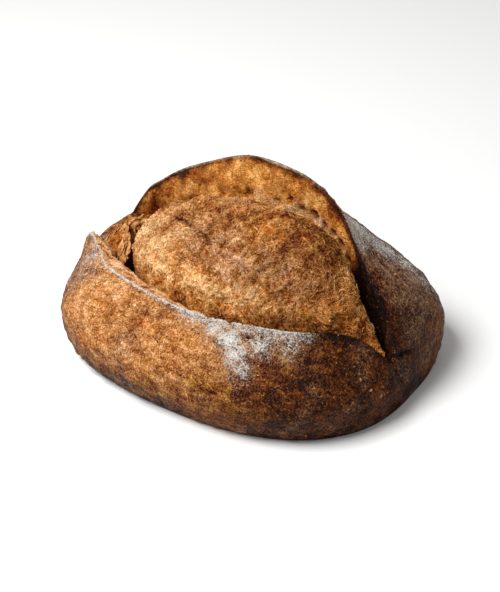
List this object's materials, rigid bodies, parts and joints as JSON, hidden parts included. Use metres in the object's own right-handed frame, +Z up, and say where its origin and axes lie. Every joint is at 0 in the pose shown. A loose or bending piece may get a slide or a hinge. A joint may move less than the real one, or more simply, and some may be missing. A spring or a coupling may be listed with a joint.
{
  "type": "whole wheat bread loaf",
  "caption": "Oval whole wheat hearth loaf with one long opened score, a tall raised ear of crust behind it, swollen inner dough in it, torn flaps at its left end and a flat underside.",
  "frame": {"origin": "middle of the loaf's box, seen from above, on the table under the flat underside", "axes": "+Z up, +X along the loaf from the torn end of the score to its closed tip, +Y towards the side with the tall ear"},
  "size_m": [0.243, 0.178, 0.1246],
  "materials": {
    "crust": "dry, mottled golden to dark brown crust with flour dust, rough"
  },
  "bodies": {
    "root": {"loaf": "crust"}
  },
  "joints": []
}
